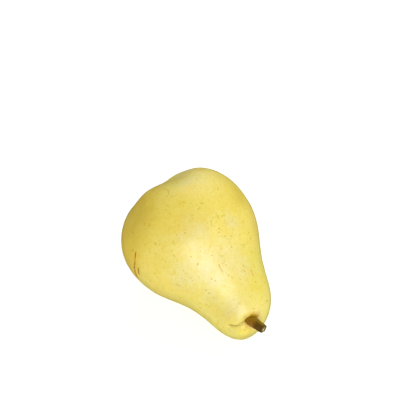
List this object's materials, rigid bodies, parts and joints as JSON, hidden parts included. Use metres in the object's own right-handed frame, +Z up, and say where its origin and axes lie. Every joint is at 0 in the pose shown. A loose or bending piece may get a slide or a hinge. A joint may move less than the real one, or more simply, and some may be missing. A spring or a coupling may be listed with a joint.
{
  "type": "pear",
  "caption": "Ripe yellow pear with a short cut stalk and a dried calyx, lying on its side on its belly and neck end.",
  "frame": {"origin": "middle of the flat spot that the belly rests on, in the resting plane", "axes": "+X along the lying fruit towards its stalk, +Y across it, +Z up"},
  "size_m": [0.0892, 0.0659, 0.0658],
  "materials": {
    "skin": "waxy, thin pale yellow skin with olive shading, small brown dots and a few russet marks",
    "stalk": "smooth brown bark, olive towards the cut end, with a pale pith spot on the cut",
    "calyx": "dry, papery dark brown"
  },
  "bodies": {
    "root": {"fruit": "skin", "stalk": "stalk", "calyx": "calyx"}
  },
  "joints": []
}
